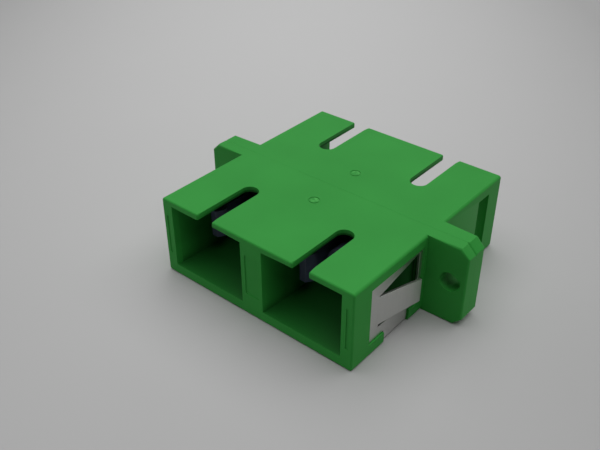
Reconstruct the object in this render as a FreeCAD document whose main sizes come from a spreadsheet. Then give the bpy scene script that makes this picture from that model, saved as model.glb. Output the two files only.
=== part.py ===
import FreeCAD, Part
import os
import Sketcher

# Duplex SC fibre adapter: two welded housing halves with mounting ears, four latch bodies,
# two split alignment sleeves and one spring clip that grips the panel cut-out.
#
# Frame, in mm: X runs across the two ports, Y along the fibres, Z up.
# The origin is at the middle of the underside, on the joint face between the two halves.
# The front half, which carries the clip, points towards -Y.

# Driving sizes. Each alias is one size that can be changed by itself.
SIZES = (
    # housing
    ("port_pitch", 12.7),
    ("body_width", 25.4),
    ("body_length", 27.0),
    ("body_height", 9.4),
    ("edge_round", 0.3),
    ("floor_wall", 1.25),
    ("top_wall", 0.65),
    ("port_width", 9.4),
    ("mouth_flare", 0.25),
    ("flare_depth", 1.85),
    ("key_width", 2.05),
    ("key_length", 7.8),
    ("web_thickness", 1.2),
    ("web_side", 0.45),
    ("web_top", 1.15),
    # mounting ears
    ("ear_span", 34.7),
    ("front_ear", 1.4),
    ("rear_ear", 1.7),
    ("ear_chamfer", 0.95),
    ("seam_chamfer", 0.15),
    ("hole_margin", 1.85),
    ("hole_diameter", 2.2),
    # hollows in the sides, and marks of the moulding
    ("frame_length", 2.5),
    ("slot_length", 2.2),
    ("clip_frame_length", 2.75),
    ("clip_rim", 0.4),
    ("side_ledge", 1.4),
    ("side_lip", 1.2),
    ("recess_depth", 1.05),
    ("recess_corner", 0.45),
    ("field_width", 1.75),
    ("field_height", 4.8),
    ("field_depth", 0.07),
    ("rim_groove", 0.3),
    ("gate_reach", 3.6),
    ("gate_outside", 1.25),
    ("gate_stub", 1.05),
    ("gate_depth", 0.06),
    # latch bodies
    ("flange_thickness", 1.15),
    ("seat_play", 0.05),
    ("tube_wall", 0.7),
    ("lip_thickness", 0.55),
    ("lip_bore", 2.8),
    ("lip_funnel", 0.3),
    ("arm_opening", 6.1),
    ("arm_thickness", 0.8),
    ("arm_height", 3.4),
    ("arm_length", 9.0),
    ("hook_depth", 0.5),
    ("hook_land", 0.4),
    ("hook_lead", 0.8),
    ("hook_back", 0.5),
    # split sleeves
    ("sleeve_bore", 2.49),
    ("sleeve_wall", 0.36),
    ("sleeve_length", 11.4),
    ("sleeve_slit", 0.5),
    ("sleeve_chamfer", 0.12),
    ("sleeve_play", 0.08),
    ("sleeve_end_play", 0.1),
    # spring clip
    ("clip_thickness", 0.3),
    ("clip_sink", 0.2),
    ("clip_play", 0.05),
    ("clip_bend", 0.15),
    ("strap_width", 4.1),
    ("strap_place", 6.0),
    ("strap_gap", 0.16),
    ("window_margin", 1.6),
    ("window_rear", 0.5),
    ("window_low", 1.15),
    ("window_rise", 1.3),
    ("window_top", 0.4),
    ("wing_low_gap", 0.32),
    ("wing_height", 3.45),
    ("wing_taper", 0.65),
    ("wing_length", 5.6),
    ("wing_flare", 1.15),
    ("relief_border", 0.3),
)

# Places worked out from the driving sizes, as expressions that FreeCAD evaluates.
HALF_WIDTH = "Sizes.body_width / 2"
HALF_LENGTH = "Sizes.body_length / 2"
PORT_SIDE = "Sizes.port_width / 2"
PORT_TOP = "(Sizes.body_height - Sizes.top_wall)"
PORT_HEIGHT = "(Sizes.body_height - Sizes.top_wall - Sizes.floor_wall)"
PORT_MID = "((Sizes.body_height - Sizes.top_wall + Sizes.floor_wall) / 2)"
SEAT_DEPTH = "(Sizes.flange_thickness + Sizes.seat_play)"
SLOT_FRONT = f"({HALF_LENGTH} - Sizes.frame_length)"
SEAT_REAR = "(Sizes.front_ear + Sizes.clip_rim)"
SEAT_FRONT = f"({HALF_LENGTH} - Sizes.clip_frame_length)"
RECESS_TOP = "(Sizes.body_height - Sizes.side_lip)"
SLEEVE_RADIUS = "(Sizes.sleeve_bore / 2 + Sizes.sleeve_wall)"
HOLDER_RADIUS = f"({SLEEVE_RADIUS} + Sizes.sleeve_play)"
HOLDER_DEPTH = "(Sizes.sleeve_length / 2 + Sizes.sleeve_end_play)"
CLIP_SEAT = "(Sizes.clip_sink + Sizes.clip_thickness + Sizes.clip_play)"
CLIP_OUTSIDE = f"({HALF_WIDTH} - Sizes.clip_sink)"
PLATE_FRONT = f"({SEAT_FRONT} - Sizes.clip_play)"
PLATE_REAR = f"({SEAT_REAR} + Sizes.clip_play)"
PLATE_LOW = "(Sizes.side_ledge + Sizes.clip_play)"
PLATE_TOP = f"({RECESS_TOP} - Sizes.clip_play)"
STRAP_FRONT = "(Sizes.strap_place + Sizes.strap_width / 2)"
STRAP_REAR = "(Sizes.strap_place - Sizes.strap_width / 2)"
WINDOW_FRONT = f"({PLATE_FRONT} - Sizes.window_margin)"
WINDOW_REAR = f"({PLATE_REAR} + Sizes.window_rear)"
WINDOW_LOW = f"({PLATE_LOW} + Sizes.window_low)"
WINDOW_HIGH = f"({PLATE_TOP} - Sizes.window_top)"
WING_LOW = f"({WINDOW_LOW} + Sizes.wing_low_gap)"

# Two measured places in the model that are closer than this count as one.
SAME_PLACE = 0.001


def make_sizes(doc):
    """Write the driving sizes into the document's spreadsheet."""
    sheet = doc.addObject("Spreadsheet::Sheet", "Sizes")
    for row, (alias, value) in enumerate(SIZES, 1):
        sheet.set(f"A{row}", alias)
        sheet.set(f"B{row}", str(value))
        sheet.setAlias(f"B{row}", alias)
    doc.recompute()
    return sheet


def add_body(doc, label):
    """Add an empty body that becomes one sub-part."""
    body = doc.addObject("PartDesign::Body", label)
    body.Label = label
    return body


def add_sketch(body, name, plane, offset=None):
    """Add a sketch on an origin plane of its body, moved along the plane's normal."""
    sketch = body.newObject("Sketcher::SketchObject", name)
    base = [item for item in body.Origin.OriginFeatures if item.Role == plane][0]
    sketch.AttachmentSupport = [(base, "")]
    sketch.MapMode = "FlatFace"
    if offset:
        sketch.setExpression("AttachmentOffset.Base.z", offset)
    body.Document.recompute()
    return sketch


def pin_point(sketch, geometry, corner, across, along):
    """Hold one point of a sketch at a place given by two expressions."""
    for kind, expression in (("DistanceX", across), ("DistanceY", along)):
        value = float(sketch.evalExpression(expression))
        index = sketch.addConstraint(Sketcher.Constraint(kind, -1, 1, geometry, corner, value))
        sketch.setExpression(f"Constraints[{index}]", expression)


def draw_polygon(sketch, points):
    """Draw a closed outline whose corners are pairs of expressions."""
    places = [FreeCAD.Vector(*(float(sketch.evalExpression(part)) for part in point), 0) for point in points]
    count = len(points)
    first = sketch.GeometryCount
    for number in range(count):
        line = Part.LineSegment(places[number], places[(number + 1) % count])
        sketch.addGeometry(line, False)
    for number in range(count):
        following = first + (number + 1) % count
        sketch.addConstraint(Sketcher.Constraint("Coincident", first + number, 2, following, 1))
    for number, (across, along) in enumerate(points):
        pin_point(sketch, first + number, 1, across, along)


def draw_box(sketch, left, right, low, high):
    """Draw an upright rectangle from the expressions of its four sides."""
    draw_polygon(sketch, ((left, low), (right, low), (right, high), (left, high)))


def draw_circle(sketch, across, along, diameter):
    """Draw a circle whose centre and diameter are expressions."""
    centre = FreeCAD.Vector(*(float(sketch.evalExpression(part)) for part in (across, along)), 0)
    size = float(sketch.evalExpression(diameter))
    ring = sketch.addGeometry(Part.Circle(centre, FreeCAD.Vector(0, 0, 1), size / 2), False)
    pin_point(sketch, ring, 3, across, along)
    index = sketch.addConstraint(Sketcher.Constraint("Diameter", ring, size))
    sketch.setExpression(f"Constraints[{index}]", diameter)


def draw_key_slot(sketch, middle, mouth, end):
    """Draw a slot that is open past the mouth and has a half-round far end."""
    half = "Sizes.key_width / 2"
    left, right = f"{middle} - {half}", f"{middle} + {half}"
    shoulder = f"{end} - {half}"
    low_x, high_x, mouth_y, shoulder_y, middle_x, radius = (
        float(sketch.evalExpression(part)) for part in (left, right, mouth, shoulder, middle, half))
    corners = [FreeCAD.Vector(*spot, 0) for spot in (
        (low_x, shoulder_y), (low_x, mouth_y), (high_x, mouth_y), (high_x, shoulder_y))]
    crown = FreeCAD.Vector(middle_x, shoulder_y + radius, 0)
    first = sketch.GeometryCount
    for start, stop in zip(corners, corners[1:]):
        sketch.addGeometry(Part.LineSegment(start, stop), False)
    sketch.addGeometry(Part.Arc(corners[3], crown, corners[0]), False)
    for line in (first, first + 1):
        sketch.addConstraint(Sketcher.Constraint("Coincident", line, 2, line + 1, 1))
    for line, corner in ((first, 1), (first + 2, 2)):
        near_start = (sketch.getPoint(first + 3, 1) - sketch.getPoint(line, corner)).Length < SAME_PLACE
        arc_end = 1 if near_start else 2
        sketch.addConstraint(Sketcher.Constraint("Coincident", first + 3, arc_end, line, corner))
    pin_point(sketch, first, 1, left, shoulder)
    pin_point(sketch, first, 2, left, mouth)
    pin_point(sketch, first + 1, 2, right, mouth)
    pin_point(sketch, first + 2, 2, right, shoulder)
    index = sketch.addConstraint(Sketcher.Constraint("DistanceY", -1, 1, first + 3, 3, shoulder_y))
    sketch.setExpression(f"Constraints[{index}]", shoulder)


def add_pad(body, name, sketch, length, both_ways=False):
    """Pad a sketch along its normal, or half each way."""
    pad = body.newObject("PartDesign::Pad", name)
    pad.Profile = sketch
    pad.Midplane = both_ways
    pad.setExpression("Length", length)
    body.Document.recompute()
    return pad


def add_pocket(body, name, sketch, depth, along_normal=False, both_ways=False):
    """Cut a sketch into the body, against its normal, along it or half each way, and check that it cuts."""
    before = body.Shape.Volume
    pocket = body.newObject("PartDesign::Pocket", name)
    pocket.Profile = sketch
    pocket.Reversed = along_normal
    pocket.Midplane = both_ways
    pocket.setExpression("Length", depth)
    body.Document.recompute()
    if not body.Shape.Volume < before:
        raise RuntimeError(f"{body.Label}: {name} cuts nothing")
    return pocket


def find_edges(shape, wanted):
    """Names of the edges for which the test says yes."""
    return [f"Edge{number}" for number, edge in enumerate(shape.Edges, 1) if wanted(edge)]


def dress_edges(body, kind, name, edges, size_name, size):
    """Put a fillet or a chamfer on named edges of the body's last feature."""
    tip = body.Tip
    if not edges:
        raise RuntimeError(f"{body.Label}: {name} finds no edge")
    dress = body.newObject(kind, name)
    dress.Base = (tip, edges)
    dress.setExpression(size_name, size)
    body.Document.recompute()
    return dress


def along_axis(edge, axis):
    """True for a straight edge that runs along the axis X, Y or Z."""
    if edge.Curve.TypeId != "Part::GeomLine":
        return False
    return abs(abs(edge.Curve.Direction.dot(axis)) - 1) < SAME_PLACE


def port_centres():
    """Expressions for the X of the two ports."""
    return "-Sizes.port_pitch / 2", "Sizes.port_pitch / 2"


def shape_outside(body, thickness):
    """The block of one half, its rounded long edges and its two ears."""
    block = add_sketch(body, "BlockOutline", "XZ_Plane")
    draw_box(block, f"-{HALF_WIDTH}", HALF_WIDTH, "0", "Sizes.body_height")
    add_pad(body, "Block", block, HALF_LENGTH)
    long_edges = find_edges(body.Shape, lambda edge: along_axis(edge, FreeCAD.Vector(0, 1, 0)))
    dress_edges(body, "PartDesign::Fillet", "LongEdges", long_edges, "Radius", "Sizes.edge_round")
    ears = add_sketch(body, "EarOutline", "XZ_Plane")
    reach, cut, top = "Sizes.ear_span / 2", "Sizes.ear_chamfer", "Sizes.body_height"
    draw_polygon(ears, (
        (f"-{reach}", cut), (f"-{reach} + {cut}", "0"), (f"{reach} - {cut}", "0"), (reach, cut),
        (reach, f"{top} - {cut}"), (f"{reach} - {cut}", top),
        (f"-{reach} + {cut}", top), (f"-{reach}", f"{top} - {cut}"),
    ))
    add_pad(body, "Ears", ears, thickness)


def cut_ports(body):
    """The two port wells, their flared mouths, the latch seats and the windows in the web between."""
    wells = add_sketch(body, "PortOutline", "XZ_Plane", HALF_LENGTH)
    seats = add_sketch(body, "SeatOutline", "XZ_Plane")
    windows = add_sketch(body, "WebOutline", "XZ_Plane")
    flares = add_sketch(body, "FlareOutline", "XY_Plane", "Sizes.floor_wall")
    for centre in port_centres():
        left, right = f"{centre} - {PORT_SIDE}", f"{centre} + {PORT_SIDE}"
        for sketch in (wells, seats):
            draw_box(sketch, left, right, "Sizes.floor_wall", PORT_TOP)
        draw_box(windows, f"{left} + Sizes.web_side", f"{right} - Sizes.web_side",
                 "Sizes.floor_wall + Sizes.web_top", f"{PORT_TOP} - Sizes.web_top")
        draw_polygon(flares, (
            (f"{left} - Sizes.mouth_flare", f"-{HALF_LENGTH}"),
            (f"{right} + Sizes.mouth_flare", f"-{HALF_LENGTH}"),
            (right, f"Sizes.flare_depth - {HALF_LENGTH}"), (left, f"Sizes.flare_depth - {HALF_LENGTH}"),
        ))
    add_pocket(body, "PortWells", wells, f"{HALF_LENGTH} - {SEAT_DEPTH} - Sizes.web_thickness")
    add_pocket(body, "LatchSeats", seats, SEAT_DEPTH, along_normal=True)
    add_pocket(body, "WebWindows", windows, f"{SEAT_DEPTH} + Sizes.web_thickness", along_normal=True)
    add_pocket(body, "MouthFlares", flares, PORT_HEIGHT, along_normal=True)


def cut_key_slots(body):
    """The round-ended slots that the plugs' keys run in."""
    slots = add_sketch(body, "KeyOutline", "XY_Plane", "Sizes.body_height")
    for centre in port_centres():
        draw_key_slot(slots, centre, f"-{HALF_LENGTH}", f"Sizes.key_length - {HALF_LENGTH}")
    add_pocket(body, "KeySlots", slots, "Sizes.top_wall")


def cut_side_hollow(body, name, depth, front, rear, low, high, corner):
    """A hollow in each side face, with a sloped corner at its mouth end."""
    outline = add_sketch(body, f"{name}Outline", "XY_Plane", low)
    for side in ("-", ""):
        floor = f"{side}({HALF_WIDTH} - {depth})"
        brim = f"{side}{HALF_WIDTH}"
        slope = f"{side}({HALF_WIDTH} - {depth} + {corner})"
        draw_polygon(outline, (
            (brim, f"-{rear}"), (floor, f"-{rear}"), (floor, f"-{front} + {corner}"),
            (slope, f"-{front}"), (brim, f"-{front}"),
        ))
    add_pocket(body, name, outline, f"{high} - {low}", along_normal=True)


def cut_clip_seat(body):
    """The seat of the clip: shallow side hollows, a deeper relief for each wing, notches and a groove."""
    cut_side_hollow(body, "ClipSeat", CLIP_SEAT, SEAT_FRONT, SEAT_REAR,
                    "Sizes.side_ledge", RECESS_TOP, "Sizes.clip_play")
    cut_side_hollow(body, "WingRelief", "Sizes.recess_depth", f"({WINDOW_FRONT} + Sizes.relief_border)",
                    f"({WINDOW_REAR} - Sizes.relief_border)", f"({WINDOW_LOW} - Sizes.relief_border)",
                    f"({WINDOW_HIGH} + Sizes.relief_border)", "Sizes.recess_corner")
    front, rear = f"-({STRAP_FRONT} + Sizes.strap_gap)", f"-({STRAP_REAR} - Sizes.strap_gap)"
    for side, inwards in (("Right", False), ("Left", True)):
        brim = f"-{HALF_WIDTH}" if inwards else HALF_WIDTH
        notch = add_sketch(body, f"Notch{side}Outline", "YZ_Plane", brim)
        draw_box(notch, front, rear, "0", "Sizes.side_ledge")
        add_pocket(body, f"Notch{side}", notch, CLIP_SEAT, along_normal=inwards)
    groove = add_sketch(body, "GrooveOutline", "XY_Plane")
    draw_box(groove, f"-{HALF_WIDTH}", HALF_WIDTH, front, rear)
    add_pocket(body, "StrapGroove", groove, f"Sizes.clip_thickness + 2 * Sizes.clip_play", along_normal=True)


def cut_marks(body):
    """Shallow fields on the mouth face, and the ring round each gate stub on the top."""
    fields = add_sketch(body, "FieldOutline", "XZ_Plane", HALF_LENGTH)
    low, high = f"{PORT_MID} - Sizes.field_height / 2", f"{PORT_MID} + Sizes.field_height / 2"
    draw_box(fields, "-Sizes.field_width / 2", "Sizes.field_width / 2", low, high)
    wall = f"({HALF_WIDTH} - Sizes.port_pitch / 2 - {PORT_SIDE} - Sizes.mouth_flare)"
    for side in ("-", ""):
        middle = f"{side}({HALF_WIDTH} - {wall} / 2)"
        draw_box(fields, f"{middle} - Sizes.rim_groove / 2", f"{middle} + Sizes.rim_groove / 2", low, high)
    add_pocket(body, "MouthFields", fields, "Sizes.field_depth")
    gate = add_sketch(body, "GateOutline", "XY_Plane", "Sizes.body_height")
    for diameter in ("Sizes.gate_outside", "Sizes.gate_stub"):
        draw_circle(gate, "0", "-Sizes.gate_reach", diameter)
    add_pocket(body, "GateRing", gate, "Sizes.gate_depth")


def finish_ears(body, thickness):
    """The screw holes, and the small chamfers that open the seam at the ears' cut corners."""
    holes = add_sketch(body, "HoleOutline", "XZ_Plane")
    for side in ("-", ""):
        draw_circle(holes, f"{side}(Sizes.ear_span / 2 - Sizes.hole_margin)", PORT_MID, "Sizes.hole_diameter")
    add_pocket(body, "EarHoles", holes, thickness, along_normal=True)

    def on_cut_corner(edge):
        box = edge.BoundBox
        sloped = box.XLength > SAME_PLACE and box.ZLength > SAME_PLACE
        on_joint = max(abs(box.YMin), abs(box.YMax)) < SAME_PLACE
        return edge.Curve.TypeId == "Part::GeomLine" and sloped and on_joint

    corners = find_edges(body.Shape, on_cut_corner)
    dress_edges(body, "PartDesign::Chamfer", "SeamChamfers", corners, "Size", "Sizes.seam_chamfer")


def make_housing(doc, label, holds_clip):
    """One moulded half of the housing, with its mouths towards -Y and its joint face at Y = 0."""
    body = add_body(doc, label)
    thickness = "Sizes.front_ear" if holds_clip else "Sizes.rear_ear"
    shape_outside(body, thickness)
    cut_ports(body)
    cut_key_slots(body)
    if holds_clip:
        cut_clip_seat(body)
    else:
        cut_side_hollow(body, "SideSlots", "Sizes.recess_depth", SLOT_FRONT,
                        f"({SLOT_FRONT} - Sizes.slot_length)", "Sizes.side_ledge", RECESS_TOP,
                        "Sizes.recess_corner")
    cut_marks(body)
    finish_ears(body, thickness)
    return body


def make_latch(doc, label):
    """One latch body: a flange, half of the sleeve's tube and two hooked arms, about the port's axis."""
    body = add_body(doc, label)
    flange = add_sketch(body, "FlangeOutline", "XZ_Plane")
    side, top = f"({PORT_SIDE} - Sizes.seat_play)", f"({PORT_HEIGHT} / 2 - Sizes.seat_play)"
    draw_box(flange, f"-{side}", side, f"-{top}", top)
    add_pad(body, "Flange", flange, "Sizes.flange_thickness")
    tube = add_sketch(body, "TubeOutline", "XZ_Plane")
    draw_circle(tube, "0", "0", f"2 * ({HOLDER_RADIUS} + Sizes.tube_wall)")
    add_pad(body, "Tube", tube, f"{HOLDER_DEPTH} + Sizes.lip_thickness")
    arms = add_sketch(body, "ArmOutline", "XY_Plane")
    inner, tip = "Sizes.arm_opening / 2", "-Sizes.arm_length"
    outer = f"({inner} + Sizes.arm_thickness)"
    hook = f"({inner} - Sizes.hook_depth)"
    land = f"{tip} + Sizes.hook_lead"
    for sign in ("-", ""):
        draw_polygon(arms, (
            (f"{sign}{outer}", "0"), (f"{sign}{outer}", tip), (f"{sign}{inner}", tip),
            (f"{sign}{hook}", land),
            (f"{sign}{hook}", f"{land} + Sizes.hook_land"),
            (f"{sign}{inner}", f"{land} + Sizes.hook_land + Sizes.hook_back"), (f"{sign}{inner}", "0"),
        ))
    add_pad(body, "Arms", arms, "Sizes.arm_height", both_ways=True)
    holder = add_sketch(body, "HolderOutline", "XZ_Plane")
    draw_circle(holder, "0", "0", f"2 * {HOLDER_RADIUS}")
    add_pocket(body, "Holder", holder, HOLDER_DEPTH, along_normal=True)
    entry = add_sketch(body, "EntryOutline", "XZ_Plane")
    draw_circle(entry, "0", "0", "Sizes.lip_bore")
    add_pocket(body, "Entry", entry, f"{HOLDER_DEPTH} + Sizes.lip_thickness", along_normal=True)
    face = min(edge.BoundBox.YMin for edge in body.Shape.Edges if is_ring(edge, body, "Sizes.lip_bore"))
    rim = find_edges(body.Shape, lambda edge: is_ring(edge, body, "Sizes.lip_bore")
                     and abs(edge.BoundBox.YMin - face) < SAME_PLACE)
    dress_edges(body, "PartDesign::Chamfer", "Funnel", rim, "Size", "Sizes.lip_funnel")
    return body


def is_ring(edge, body, diameter):
    """True for a full circle of the given diameter."""
    if edge.Curve.TypeId != "Part::GeomCircle":
        return False
    return abs(edge.Curve.Radius * 2 - float(body.evalExpression(diameter))) < SAME_PLACE


def make_sleeve(doc, label):
    """One split sleeve of zirconia, about the port's axis, with its slit on top."""
    body = add_body(doc, label)
    ring = add_sketch(body, "RingOutline", "XZ_Plane")
    for diameter in (f"2 * {SLEEVE_RADIUS}", "Sizes.sleeve_bore"):
        draw_circle(ring, "0", "0", diameter)
    add_pad(body, "Ring", ring, "Sizes.sleeve_length", both_ways=True)
    ends = find_edges(body.Shape, lambda edge: edge.Curve.TypeId == "Part::GeomCircle")
    dress_edges(body, "PartDesign::Chamfer", "EndChamfers", ends, "Size", "Sizes.sleeve_chamfer")
    slit = add_sketch(body, "SlitOutline", "XY_Plane")
    half_slit, half_sleeve = "Sizes.sleeve_slit / 2", "Sizes.sleeve_length / 2"
    draw_box(slit, f"-{half_slit}", half_slit, f"-{half_sleeve}", half_sleeve)
    add_pocket(body, "Slit", slit, SLEEVE_RADIUS, along_normal=True)
    return body


def make_clip(doc, label):
    """The spring clip: one strap under the body, bent up into a pierced plate with a wing on each side."""
    body = add_body(doc, label)
    low = "Sizes.clip_play"
    outside, inside = CLIP_OUTSIDE, f"({CLIP_OUTSIDE} - Sizes.clip_thickness)"
    floor = f"{low} + Sizes.clip_thickness"
    free = f"-{WINDOW_FRONT} + Sizes.wing_length"
    strap = add_sketch(body, "StrapOutline", "XZ_Plane", STRAP_REAR)
    draw_polygon(strap, (
        (f"-{outside}", low), (outside, low), (outside, PLATE_LOW), (inside, PLATE_LOW),
        (inside, floor), (f"-{inside}", floor), (f"-{inside}", PLATE_LOW), (f"-{outside}", PLATE_LOW),
    ))
    add_pad(body, "Strap", strap, "Sizes.strap_width")
    round_strap(body)
    for side, sign in (("Right", ""), ("Left", "-")):
        plate = add_sketch(body, f"Plate{side}Outline", "YZ_Plane", inside if sign == "" else f"-{outside}")
        draw_box(plate, f"-{PLATE_FRONT}", f"-{PLATE_REAR}", PLATE_LOW, PLATE_TOP)
        draw_polygon(plate, (
            (f"-{WINDOW_FRONT}", WINDOW_LOW), (f"-{WINDOW_REAR}", WINDOW_LOW),
            (f"-{WINDOW_REAR}", WINDOW_HIGH),
            (f"-{WINDOW_FRONT}", f"{WINDOW_HIGH} - Sizes.window_rise"),
        ))
        add_pad(body, f"Plate{side}", plate, "Sizes.clip_thickness")
        wing = add_sketch(body, f"Wing{side}Outline", "XY_Plane", WING_LOW)
        draw_polygon(wing, (
            (f"{sign}{inside}", f"-{WINDOW_FRONT}"), (f"{sign}{outside}", f"-{WINDOW_FRONT}"),
            (f"{sign}({outside} + Sizes.wing_flare)", free), (f"{sign}({inside} + Sizes.wing_flare)", free),
        ))
        add_pad(body, f"Wing{side}", wing, "Sizes.wing_height")
    taper = add_sketch(body, "TaperOutline", "YZ_Plane")
    wing_top = f"({WING_LOW} + Sizes.wing_height)"
    draw_polygon(taper, (
        (f"-{WINDOW_FRONT}", wing_top), (free, f"{wing_top} - Sizes.wing_taper"), (free, wing_top),
    ))
    add_pocket(body, "WingTapers", taper, "Sizes.ear_span", both_ways=True)
    return body


def round_strap(body):
    """Round the outside and the inside of the two folds of the strap."""
    wide = float(body.evalExpression(CLIP_OUTSIDE))
    thick = float(body.evalExpression("Sizes.clip_thickness"))
    base = float(body.evalExpression("Sizes.clip_play"))
    folds = (("OuterFolds", wide, base, "Sizes.clip_bend + Sizes.clip_thickness"),
             ("InnerFolds", wide - thick, base + thick, "Sizes.clip_bend"))
    for name, across, height, radius in folds:
        def on_fold(edge, across=across, height=height):
            box = edge.BoundBox
            near = abs(abs(box.XMax) - across) + abs(box.ZMax - height) < SAME_PLACE
            return along_axis(edge, FreeCAD.Vector(0, 1, 0)) and near
        dress_edges(body, "PartDesign::Fillet", name, find_edges(body.Shape, on_fold), "Radius", radius)


def place(body, across="0", height="0", turned=False):
    """Put a body at its port or at the origin, turned round for the rear side."""
    if turned:
        body.Placement.Rotation = FreeCAD.Rotation(FreeCAD.Vector(0, 0, 1), 180)
    body.setExpression("Placement.Base.x", across)
    body.setExpression("Placement.Base.z", height)


def check_document(doc, parts):
    """Stop when a feature has failed or a sub-part isn't one valid solid."""
    for item in doc.Objects:
        if "Invalid" in item.State or "Error" in item.State:
            raise RuntimeError(f"{item.Label} failed: {item.State}")
    for part in parts:
        if part.Shape.isNull() or not part.Shape.isValid():
            raise RuntimeError(f"{part.Label} has no valid shape")
        if len(part.Shape.Solids) != 1:
            raise RuntimeError(f"{part.Label} is {len(part.Shape.Solids)} solids")


def main():
    doc = FreeCAD.newDocument("FibreAdapter")
    make_sizes(doc)
    parts = []
    for label, holds_clip in (("front_housing", True), ("rear_housing", False)):
        housing = make_housing(doc, label, holds_clip)
        place(housing, turned=not holds_clip)
        parts.append(housing)
    for side, across in zip(("left", "right"), port_centres()):
        for end in ("front", "rear"):
            latch = make_latch(doc, f"{end}_latch_{side}")
            place(latch, across, PORT_MID, turned=end == "rear")
            parts.append(latch)
        sleeve = make_sleeve(doc, f"split_sleeve_{side}")
        place(sleeve, across, PORT_MID)
        parts.append(sleeve)
    parts.append(make_clip(doc, "spring_clip"))
    doc.recompute()
    check_document(doc, parts)
    os.makedirs("parts", exist_ok=True)
    for part in parts:
        part.Shape.exportStep(f"parts/{part.Label}.step")
        print(part.Label, round(part.Shape.Volume, 3), "mm3")


main()
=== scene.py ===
import math

import bmesh
import bpy
from mathutils import Euler, Matrix


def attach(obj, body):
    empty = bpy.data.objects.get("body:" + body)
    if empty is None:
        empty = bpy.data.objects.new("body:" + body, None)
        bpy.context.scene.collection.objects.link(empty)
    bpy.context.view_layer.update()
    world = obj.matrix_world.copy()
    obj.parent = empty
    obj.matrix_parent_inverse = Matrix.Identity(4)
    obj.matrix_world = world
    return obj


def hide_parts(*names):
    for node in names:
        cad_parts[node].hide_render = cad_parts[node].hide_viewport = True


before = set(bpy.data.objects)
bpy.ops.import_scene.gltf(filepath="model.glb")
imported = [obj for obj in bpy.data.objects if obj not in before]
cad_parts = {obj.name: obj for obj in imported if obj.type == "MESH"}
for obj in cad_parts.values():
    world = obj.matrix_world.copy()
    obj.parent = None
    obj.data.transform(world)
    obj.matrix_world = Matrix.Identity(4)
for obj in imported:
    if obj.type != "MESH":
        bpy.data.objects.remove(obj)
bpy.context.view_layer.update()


# ---- Housing halves -------------------------------------------------------------------
# Two injection mouldings in green PBT, welded together at the joint between the ears.
# Each copy of a solid is merged, opened in millimetres, and given the small radii that
# the mould leaves on outside edges; the weld shows only as a hairline round the body.

def open_copy(name, node):
    """Open a merged copy of a solid in edit mode, in millimetres."""
    merge_distance, flat_angle = 0.001, 0.5
    bpy.ops.object.select_all(action="DESELECT")
    piece = bpy.data.objects.new(name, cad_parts[node].data.copy())
    bpy.context.scene.collection.objects.link(piece)
    bpy.context.view_layer.objects.active = piece
    piece.select_set(True)
    bpy.ops.object.mode_set(mode="EDIT")
    bpy.ops.mesh.select_mode(type="EDGE")
    bpy.ops.mesh.select_all(action="SELECT")
    bpy.ops.transform.resize(value=(1000, 1000, 1000), center_override=(0, 0, 0))
    bpy.ops.mesh.remove_doubles(threshold=merge_distance)
    bpy.ops.mesh.dissolve_limited(angle_limit=math.radians(flat_angle))
    return piece


def round_edges(piece, radius, wanted, clamp=True):
    """Round the outside edges of the open mesh whose two ends both pass the test.

    The test takes a point's distances from the middle planes and its height.
    """
    least_angle, segments = 30, 4
    bpy.ops.mesh.select_all(action="DESELECT")
    mesh = bmesh.from_edit_mesh(piece.data)
    for edge in mesh.edges:
        outside = (edge.is_manifold
                   and edge.calc_face_angle_signed() > math.radians(least_angle))
        edge.select_set(outside and all(
            wanted(abs(end.co.x), abs(end.co.y), end.co.z) for end in edge.verts))
    bmesh.update_edit_mesh(piece.data)
    bpy.ops.mesh.bevel(offset=radius, segments=segments, profile=0.5,
                       clamp_overlap=clamp, loop_slide=False)


def close_copy(piece, node, material):
    """Bring the open mesh back to metres, finish it and let it stand for its solid."""
    smooth_angle = 32
    bpy.ops.mesh.select_all(action="SELECT")
    bpy.ops.transform.resize(value=(0.001, 0.001, 0.001), center_override=(0, 0, 0))
    bpy.ops.object.mode_set(mode="OBJECT")
    bpy.ops.object.shade_smooth_by_angle(angle=math.radians(smooth_angle))
    bpy.ops.object.modifier_add(type="WEIGHTED_NORMAL")
    piece.modifiers[-1].keep_sharp = True
    bpy.ops.object.modifier_apply(modifier=piece.modifiers[-1].name)
    piece.data.materials.clear()
    piece.data.materials.append(material)
    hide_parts(node)
    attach(piece, "root")


def linear(colour):
    """The linear value of an sRGB hex colour."""
    parts = [int(colour[place:place + 2], 16) / 255 for place in (1, 3, 5)]
    return [part / 12.92 if part <= 0.04045 else ((part + 0.055) / 1.055) ** 2.4
            for part in parts] + [1]


def add_node(owner, kind, settings=None, sockets=None, links=None):
    """Add a node to a material or world, with its settings, values and incoming links."""
    node = owner.node_tree.nodes.new(kind)
    for name, value in (settings or {}).items():
        setattr(node, name, value)
    for name, value in (sockets or {}).items():
        node.inputs[name].default_value = value
    for name, source in (links or {}).items():
        owner.node_tree.links.new(source, node.inputs[name])
    return node


def join(owner, source, node, socket):
    """Link an output to a socket of a node that is already there."""
    owner.node_tree.links.new(source, node.inputs[socket])


def new_material(name, colour, **sockets):
    """A new material's shader with its own values, and the object's coordinates."""
    material = bpy.data.materials.new(name)
    material.use_nodes = True
    material.node_tree.nodes.clear()
    shader = add_node(material, "ShaderNodeBsdfPrincipled",
                      sockets={"Base Color": linear(colour), **sockets})
    add_node(material, "ShaderNodeOutputMaterial", links={"Surface": shader.outputs["BSDF"]})
    place = add_node(material, "ShaderNodeTexCoord").outputs["Object"]
    return material, shader, place


# the housing's own sizes, by which places in it are found and its edges are picked
mouth, mouth_rim, side, side_fillet, top, roof = 13.5, 0.3, 12.7, 0.3, 9.4, 8.75
port_side, port_back, ear_tip, ear_chamfer = 11.3, 5.4, 17.35, 0.95


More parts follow.
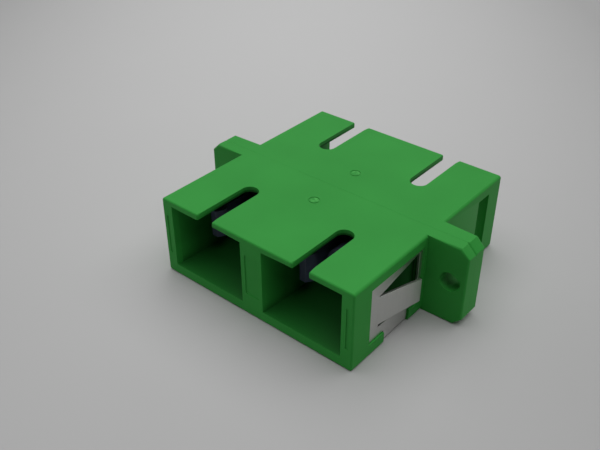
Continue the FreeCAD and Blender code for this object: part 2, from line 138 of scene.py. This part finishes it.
def painted_shade_places(material, axes):
    """How much painted shade each spot in the ports and behind the clip gets, from zero to one."""
    # painted shade in the wells behind the mouths: the walls darken little by little, and the
    # floor at once
    well_start, well_side, well_middle, well_half = 10.2, 11.2, 5.0, 4.0
    floor_top, floor_fade = 1.3, 1.0
    wall_shade, floor_shade, wall_onset, floor_onset = 0.8, 0.9, 1.0, 0.1
    along = add_node(material, "ShaderNodeMath", {"operation": "ABSOLUTE"},
                     links={0: axes.outputs["Y"]})
    depth = add_node(material, "ShaderNodeMapRange", sockets={
        "From Min": mouth / 1000, "From Max": well_start / 1000},
        links={"Value": along.outputs[0]})
    beside = add_node(material, "ShaderNodeMath", {"operation": "COMPARE"},
                      {1: 0.0, 2: well_side / 1000}, {0: axes.outputs["X"]})
    between = add_node(material, "ShaderNodeMath", {"operation": "COMPARE"},
                       {1: well_middle / 1000, 2: well_half / 1000}, {0: axes.outputs["Z"]})
    inside = add_node(material, "ShaderNodeMath", {"operation": "MULTIPLY"},
                      links={0: beside.outputs[0], 1: between.outputs[0]})
    shade_weight, onset = (add_node(material, "ShaderNodeMapRange", sockets={
        "From Min": (floor_top + floor_fade) / 1000, "From Max": floor_top / 1000,
        "To Min": for_walls, "To Max": for_floor}, links={"Value": axes.outputs["Z"]})
        for for_walls, for_floor in ((wall_shade, floor_shade), (wall_onset, floor_onset)))
    shade_ramp = add_node(material, "ShaderNodeMath", {"operation": "POWER"},
                        links={0: depth.outputs[0], 1: onset.outputs[0]})
    shade_amount = add_node(material, "ShaderNodeMath", {"operation": "MULTIPLY"},
                     links={0: shade_weight.outputs[0], 1: shade_ramp.outputs[0]})
    well_shade = add_node(material, "ShaderNodeMath", {"operation": "MULTIPLY", "use_clamp": True},
                    links={0: inside.outputs[0], 1: shade_amount.outputs[0]})

    # painted shade on the floor of the seat behind the clip
    seat_floor, seat_play, seat_middle, seat_half = 11.65, 0.12, -6.2, 4.6
    aside = add_node(material, "ShaderNodeMath", {"operation": "ABSOLUTE"},
                     links={0: axes.outputs["X"]})
    sunk = add_node(material, "ShaderNodeMath", {"operation": "COMPARE"},
                    {1: seat_floor / 1000, 2: seat_play / 1000}, {0: aside.outputs[0]})
    within = add_node(material, "ShaderNodeMath", {"operation": "COMPARE"},
                      {1: seat_middle / 1000, 2: seat_half / 1000}, {0: axes.outputs["Y"]})
    seat = add_node(material, "ShaderNodeMath", {"operation": "MULTIPLY"},
                    links={0: sunk.outputs[0], 1: within.outputs[0]})
    clip_seat_shade = add_node(material, "ShaderNodeMath", {"operation": "MULTIPLY"},
                           links={0: seat.outputs[0], 1: between.outputs[0]})
    return add_node(material, "ShaderNodeMath", {"operation": "MAXIMUM"},
                    links={0: well_shade.outputs[0], 1: clip_seat_shade.outputs[0]}).outputs[0]


def torn_gates(material, axes, place):
    """One on the ragged patches where a gate was broken off each half, else zero."""
    gate_place, gate_shift, gate_radius, gate_rag, gate_edge = 3.6, 0.12, 0.62, 0.22, 0.25
    tear_size, whole_below, torn_above, gate_floor = 0.45, 0.45, 0.58, 9.2
    rag = add_node(material, "ShaderNodeTexNoise",
                   sockets={"Scale": 1000 / tear_size, "Detail": 2.0}, links={"Vector": place})
    shifted = add_node(material, "ShaderNodeMath", {"operation": "SUBTRACT"},
                       {1: gate_shift / 1000}, {0: axes.outputs["Y"]})
    far = add_node(material, "ShaderNodeMath", {"operation": "ABSOLUTE"},
                   links={0: shifted.outputs[0]})
    off = add_node(material, "ShaderNodeMath", {"operation": "SUBTRACT"},
                   {1: gate_place / 1000}, {0: far.outputs[0]})
    spot = add_node(material, "ShaderNodeCombineXYZ",
                    links={"X": axes.outputs["X"], "Y": off.outputs[0]})
    reach = add_node(material, "ShaderNodeVectorMath", {"operation": "LENGTH"},
                     links={0: spot.outputs[0]})
    ragged = add_node(material, "ShaderNodeMath", {"operation": "MULTIPLY_ADD"},
                      {1: gate_rag * 2 / 1000}, {0: rag.outputs["Fac"], 2: reach.outputs["Value"]})
    disc = add_node(material, "ShaderNodeMapRange", sockets={
        "From Min": (gate_radius + gate_rag) / 1000,
        "From Max": (gate_radius + gate_rag - gate_edge) / 1000},
        links={"Value": ragged.outputs[0]})
    torn = add_node(material, "ShaderNodeMapRange", sockets={
        "From Min": whole_below, "From Max": torn_above}, links={"Value": rag.outputs["Fac"]})
    pale = add_node(material, "ShaderNodeMath", {"operation": "MULTIPLY"},
                    links={0: disc.outputs[0], 1: torn.outputs[0]})
    high = add_node(material, "ShaderNodeMath", {"operation": "GREATER_THAN"},
                    {1: gate_floor / 1000}, {0: axes.outputs["Z"]})
    return add_node(material, "ShaderNodeMath", {"operation": "MULTIPLY"},
                    links={0: pale.outputs[0], 1: high.outputs[0]}).outputs[0]


def make_green_plastic():
    # PBT off a lightly textured mould: an even satin green, a little uneven in sheen. The
    # texture's grain is about 0.05 mm, and is drawn at 0.22 mm because it wouldn't show.
    flow_size, grain_size, grain_height = 7.0, 0.22, 0.004
    dullest, brightest = 0.5, 0.42
    material, shader, place = new_material(
        "moulded_pbt_green", "#2E8C37", Roughness=0.45, IOR=1.5,
        **{"Specular IOR Level": 0.1})
    axes = add_node(material, "ShaderNodeSeparateXYZ", links={"Vector": place})
    flow = add_node(material, "ShaderNodeTexNoise",
                    sockets={"Scale": 1000 / flow_size, "Detail": 2.0}, links={"Vector": place})
    tint = add_node(material, "ShaderNodeValToRGB", links={"Fac": flow.outputs["Fac"]})
    for stop, position, colour in zip(
            tint.color_ramp.elements, (0.3, 0.7), ("#2C8935", "#308F39")):
        stop.position = position
        stop.color = linear(colour)

    # painted shade: the wells and the clip's seat are drawn in a darker green, for the shade that
    # falls in them
    well_shade_mix = add_node(material, "ShaderNodeMix", {"data_type": "RGBA"}, {7: linear("#18521F")})
    join(material, painted_shade_places(material, axes), well_shade_mix, 0)
    join(material, tint.outputs["Color"], well_shade_mix, 6)

    # the broken gate in the middle of each half is paler in patches, because the plastic
    # was stretched and torn there
    paint = add_node(material, "ShaderNodeMix", {"data_type": "RGBA"}, {7: linear("#46A14A")})
    join(material, torn_gates(material, axes, place), paint, 0)
    join(material, well_shade_mix.outputs[2], paint, 6)
    join(material, paint.outputs[2], shader, "Base Color")

    sheen = add_node(material, "ShaderNodeMapRange",
                     sockets={"To Min": brightest, "To Max": dullest},
                     links={"Value": flow.outputs["Fac"]})
    join(material, sheen.outputs[0], shader, "Roughness")
    grain = add_node(material, "ShaderNodeTexNoise",
                     sockets={"Scale": 1000 / grain_size, "Detail": 3.0}, links={"Vector": place})
    bump = add_node(material, "ShaderNodeBump",
                    sockets={"Strength": 0.25, "Distance": grain_height / 1000},
                    links={"Height": grain.outputs["Fac"]})
    join(material, bump.outputs[0], shader, "Normal")
    return material


green_plastic = make_green_plastic()

# how far a corner may lie from its place, with more play at the ports, and the radii
near, play = 0.01, 0.05
mouth_radius, ear_radius, slot_radius, opening_radius, weld_radius = 0.2, 0.25, 0.2, 0.08, 0.015


def on_mouth(x, y, z):
    """The outline of the face round the mouths."""
    return y > mouth - near and (x > side - side_fillet - near or z < near or z > top - near)


def on_ears(x, y, z):
    """The outline of the ears away from the weld, for the half that is being made."""
    return abs(y - ear_face) < near and x > side - side_fillet - near and (
        x > ear_tip - ear_chamfer - near or z < ear_chamfer + near
        or z > top - ear_chamfer - near)


def on_slot_corners(x, y, z):
    """The corners where the key slots run out of the roof."""
    return y > mouth - mouth_rim and x < port_side and z > roof - play


def on_openings(x, y, z):
    """What is left round the ports and the key slots."""
    return y > port_back and x < port_side + play


for node, ear_face in (("front_housing", 1.4), ("rear_housing", 1.7)):
    half = open_copy(f"{node}_moulding", node)
    round_edges(half, mouth_radius, on_mouth)
    round_edges(half, ear_radius, on_ears, clamp=False)
    round_edges(half, slot_radius, on_slot_corners)
    round_edges(half, opening_radius, on_openings)
    round_edges(half, weld_radius, lambda x, y, z: y < near)
    close_copy(half, node, green_plastic)


# ---- Latch bodies ---------------------------------------------------------------------
# Dark blue mouldings that hold the sleeves and whose hooked arms catch the plug. They drop
# into their seats before the halves are welded, and have sharper edges than the housing.

def make_navy_plastic():
    # glass-filled polymer: nearly black, with a fine dull grain, drawn at 0.18 mm because
    # the real one of about 0.05 mm wouldn't show
    grain_size, grain_height = 0.18, 0.004
    material, shader, place = new_material(
        "moulded_polymer_navy", "#40455A", Roughness=0.42, IOR=1.52)
    grain = add_node(material, "ShaderNodeTexNoise",
                     sockets={"Scale": 1000 / grain_size, "Detail": 3.0}, links={"Vector": place})
    tint = add_node(material, "ShaderNodeValToRGB", links={"Fac": grain.outputs["Fac"]})
    tint.color_ramp.elements[0].color = linear("#3B4054")
    tint.color_ramp.elements[1].color = linear("#454A61")
    join(material, tint.outputs["Color"], shader, "Base Color")
    bump = add_node(material, "ShaderNodeBump",
                    sockets={"Strength": 0.3, "Distance": grain_height / 1000},
                    links={"Height": grain.outputs["Fac"]})
    join(material, bump.outputs[0], shader, "Normal")
    return material


navy_plastic = make_navy_plastic()
latch_radius = 0.05
for node in ("front_latch_left", "front_latch_right", "rear_latch_left", "rear_latch_right"):
    latch = open_copy(f"{node}_moulding", node)
    round_edges(latch, latch_radius, lambda x, y, z: y > near)
    close_copy(latch, node, navy_plastic)


# ---- Split sleeves --------------------------------------------------------------------
# Zirconia tubes, ground inside and out and slit along the top, that spring open a little
# round the two ferrules. They lie loose in their holders.

def make_zirconia():
    # ground ceramic: ivory white and smooth, with faint rings left by the wheel, which are
    # much finer on the real tube and are drawn three quarters of a millimetre apart to show
    ring_spacing, ring_height, wave_step = 0.754, 0.002, 2 * math.pi / 20
    material, shader, place = new_material("ground_zirconia", "#E8E3D8", Roughness=0.22, IOR=2.0)
    rings = add_node(material, "ShaderNodeTexWave", {"bands_direction": "Y"}, {
        "Scale": 1000 * wave_step / ring_spacing, "Distortion": 1.5, "Detail": 1.0},
        {"Vector": place})
    tint = add_node(material, "ShaderNodeValToRGB", links={"Fac": rings.outputs["Fac"]})
    tint.color_ramp.elements[0].color = linear("#E2DCCF")
    tint.color_ramp.elements[1].color = linear("#ECE8DE")
    join(material, tint.outputs["Color"], shader, "Base Color")
    bump = add_node(material, "ShaderNodeBump",
                    sockets={"Strength": 0.1, "Distance": ring_height / 1000},
                    links={"Height": rings.outputs["Fac"]})
    join(material, bump.outputs[0], shader, "Normal")
    return material


zirconia = make_zirconia()
for node in ("split_sleeve_left", "split_sleeve_right"):
    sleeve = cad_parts[node]
    sleeve.data.materials.clear()
    sleeve.data.materials.append(zirconia)


# ---- Spring clip ----------------------------------------------------------------------
# One strip of stainless spring steel, blanked, pierced and folded up round the body. Each
# side keeps a sprung wing that grips the panel, and the blanked edges are broken slightly.

def make_stainless():
    # cold-rolled stainless: grey and half dull, with a fine grain along the strip, drawn
    # 0.09 mm wide because the rolls' own lines wouldn't show
    grain_width, grain_length, grain_height = 0.09, 2.5, 0.003
    brightest, dullest = 0.28, 0.38
    material, shader, place = new_material(
        "rolled_stainless", "#C8C8C5", Metallic=1.0, Roughness=0.33)
    stretch = add_node(material, "ShaderNodeMapping", sockets={
        "Scale": (1000 / grain_length, 1000 / grain_width, 1000 / grain_length)},
        links={"Vector": place})
    grain = add_node(material, "ShaderNodeTexNoise", sockets={"Scale": 1.0, "Detail": 2.0},
                     links={"Vector": stretch.outputs[0]})
    tint = add_node(material, "ShaderNodeValToRGB", links={"Fac": grain.outputs["Fac"]})
    tint.color_ramp.elements[0].color = linear("#C2C2BF")
    tint.color_ramp.elements[1].color = linear("#CECECB")
    join(material, tint.outputs["Color"], shader, "Base Color")
    dull = add_node(material, "ShaderNodeMapRange",
                    sockets={"To Min": brightest, "To Max": dullest},
                    links={"Value": grain.outputs["Fac"]})
    join(material, dull.outputs[0], shader, "Roughness")
    bump = add_node(material, "ShaderNodeBump",
                    sockets={"Strength": 0.15, "Distance": grain_height / 1000},
                    links={"Height": grain.outputs["Fac"]})
    join(material, bump.outputs[0], shader, "Normal")
    return material


strip_radius = 0.04
clip = open_copy("spring_clip_strip", "spring_clip")
round_edges(clip, strip_radius, lambda x, y, z: True)
close_copy(clip, "spring_clip", make_stainless())


# ---- Table ----------------------------------------------------------------------------
# A table covered in matt grey-white paper, with a painted pool of light palest behind and to the
# left of the adapter, which lies on it loose. It is made a hair lower than the adapter, so that
# they don't mix.

table_size, table_drop = 1.4, 0.00002
bpy.ops.object.select_all(action="DESELECT")
bpy.ops.mesh.primitive_plane_add(size=table_size, location=(0, 0, -table_drop))
table = bpy.context.active_object
table.name = "table"

# matt paper, slightly cloudy, with a painted pool of light: its colour falls off in a soft oval
light_pool_place, light_pool_turn, light_pool_size = (-0.053, 0.052, 0), 38, (0.062, 0.148, 1)
clouds_per_metre, cloudiness = 60.0, 0.05
matt_paper, paper_shader, paper_place = new_material("matt_paper", "#BDBDBD", Roughness=0.8)
light_pool = add_node(matt_paper, "ShaderNodeMapping", {"vector_type": "TEXTURE"}, {
    "Location": light_pool_place, "Rotation": (0, 0, math.radians(light_pool_turn)), "Scale": light_pool_size},
    {"Vector": paper_place})
reach = add_node(matt_paper, "ShaderNodeVectorMath", {"operation": "LENGTH"},
                 links={0: light_pool.outputs[0]})
light_falloff = add_node(matt_paper, "ShaderNodeMath", {"operation": "POWER"}, {1: 2.0},
                {0: reach.outputs["Value"]})
cloud = add_node(matt_paper, "ShaderNodeTexNoise",
                 sockets={"Scale": clouds_per_metre, "Detail": 4.0}, links={"Vector": paper_place})
spread = add_node(matt_paper, "ShaderNodeMath", {"operation": "MULTIPLY_ADD"}, {1: cloudiness},
                  {0: cloud.outputs["Fac"], 2: light_falloff.outputs[0]})
paper_clouds_and_light_pool = add_node(matt_paper, "ShaderNodeValToRGB", links={"Fac": spread.outputs[0]})
paper_clouds_and_light_pool.color_ramp.elements[0].color = linear("#BDBDBD")
paper_clouds_and_light_pool.color_ramp.elements[1].color = linear("#9C9C9C")
join(matt_paper, paper_clouds_and_light_pool.outputs["Color"], paper_shader, "Base Color")


def seen_rays(owner):
    """One for rays that come from the camera, off a gloss or through glass, else zero."""
    rays = add_node(owner, "ShaderNodeLightPath").outputs
    seen = rays["Is Camera Ray"]
    for other in ("Is Glossy Ray", "Is Transmission Ray"):
        seen = add_node(owner, "ShaderNodeMath", {"operation": "MAXIMUM"},
                        links={0: seen, 1: rays[other]}).outputs[0]
    return seen


# far from the adapter the table is seen to run into the wall behind it
wall_level, fade_start, fade_end = 0.36, 0.15, 0.4
away = add_node(matt_paper, "ShaderNodeVectorMath", {"operation": "LENGTH"},
                links={0: paper_place})
fade = add_node(matt_paper, "ShaderNodeMapRange", {"interpolation_type": "SMOOTHSTEP"},
                {"From Min": fade_start, "From Max": fade_end}, {"Value": away.outputs["Value"]})
faded = add_node(matt_paper, "ShaderNodeMath", {"operation": "MULTIPLY"},
                 links={0: fade.outputs[0], 1: seen_rays(matt_paper)})
backdrop = add_node(matt_paper, "ShaderNodeEmission", sockets={"Strength": wall_level})
blend = add_node(matt_paper, "ShaderNodeMixShader", links={
    0: faded.outputs[0], 1: paper_shader.outputs["BSDF"], 2: backdrop.outputs[0]})
join(matt_paper, blend.outputs[0], matt_paper.node_tree.nodes["Material Output"], "Surface")
matt_paper.cycles.emission_sampling = "NONE"
table.data.materials.append(matt_paper)


# ---- Light ----------------------------------------------------------------------------
# One large soft lamp above and a little behind, in a dim room with a broad window low on
# the left, a pale wall behind and a little light from the right.

lamp_size, lamp_power, lamp_back, lamp_height = 0.8, 3.8, 0.08, 0.5
lamp_data = bpy.data.lights.new("softbox", "AREA")
lamp_data.shape = "SQUARE"
lamp_data.size = lamp_size
lamp_data.energy = lamp_power
softbox = bpy.data.objects.new("softbox", lamp_data)
softbox.location = (0, lamp_back, lamp_height)
softbox.rotation_euler = (-math.atan2(lamp_back, lamp_height), 0, 0)
bpy.context.scene.collection.objects.link(softbox)

window_light, back_light, right_light, least_light, light_top = 3.9, 1.8, 0.6, 0.04, 0.45
room = bpy.data.worlds.new("plain_room")
room.use_nodes = True
sky = room.node_tree.nodes["Background"]
sky.inputs["Color"].default_value = linear("#FFFFFF")
direction = add_node(room, "ShaderNodeTexCoord").outputs["Generated"]
axes = add_node(room, "ShaderNodeSeparateXYZ", links={"Vector": direction})
low = add_node(room, "ShaderNodeMapRange", sockets={
    "From Min": 0.0, "From Max": light_top, "To Min": 1.0, "To Max": 0.0},
    links={"Value": axes.outputs["Z"]})
total = None
for axis, sign, strength in (("X", -1, window_light), ("Y", 1, back_light), ("X", 1, right_light)):
    toward = add_node(room, "ShaderNodeMath", {"operation": "MULTIPLY"}, {1: sign},
                      {0: axes.outputs[axis]})
    ahead = add_node(room, "ShaderNodeMath", {"operation": "MAXIMUM"}, {1: 0.0},
                     {0: toward.outputs[0]})
    lobe = add_node(room, "ShaderNodeMath", {"operation": "POWER"}, {1: 2.0},
                    {0: ahead.outputs[0]})
    glow = add_node(room, "ShaderNodeMath", {"operation": "MULTIPLY_ADD"},
                    {1: strength, 2: 0.0}, {0: lobe.outputs[0]})
    if total:
        join(room, total.outputs[0], glow, 2)
    total = glow
level = add_node(room, "ShaderNodeMath", {"operation": "MULTIPLY_ADD"}, {2: least_light},
                 {0: total.outputs[0], 1: low.outputs[0]})

# what is seen or mirrored of the room is a plain pale wall
wall = add_node(room, "ShaderNodeMix", {"data_type": "FLOAT"}, {3: wall_level})
join(room, seen_rays(room), wall, 0)
join(room, level.outputs[0], wall, 2)
join(room, wall.outputs[0], sky, "Strength")
bpy.context.scene.world = room


# ---- Camera ---------------------------------------------------------------------------
# A small camera held less than a hand's length away, over the near right corner, looking
# down on the roof and into the front ports, and very slightly tilted.

azimuth, elevation, roll = 40.143, 34.305, -0.172
camera_place, lens, sensor, nearest = (0.043472, -0.057464, 0.053450), 46.905, 36, 0.001
view_data = bpy.data.cameras.new("camera")
view_data.sensor_width = sensor
view_data.lens = lens
view_data.clip_start = nearest
camera = bpy.data.objects.new("camera", view_data)
turn = Euler((math.radians(90 - elevation), 0, math.radians(azimuth))).to_matrix().to_4x4()
tilt = Matrix.Rotation(math.radians(roll), 4, "Z")
camera.matrix_world = Matrix.Translation(camera_place) @ turn @ tilt
bpy.context.scene.collection.objects.link(camera)
bpy.context.scene.camera = camera
bpy.context.scene.view_settings.view_transform = "Standard"
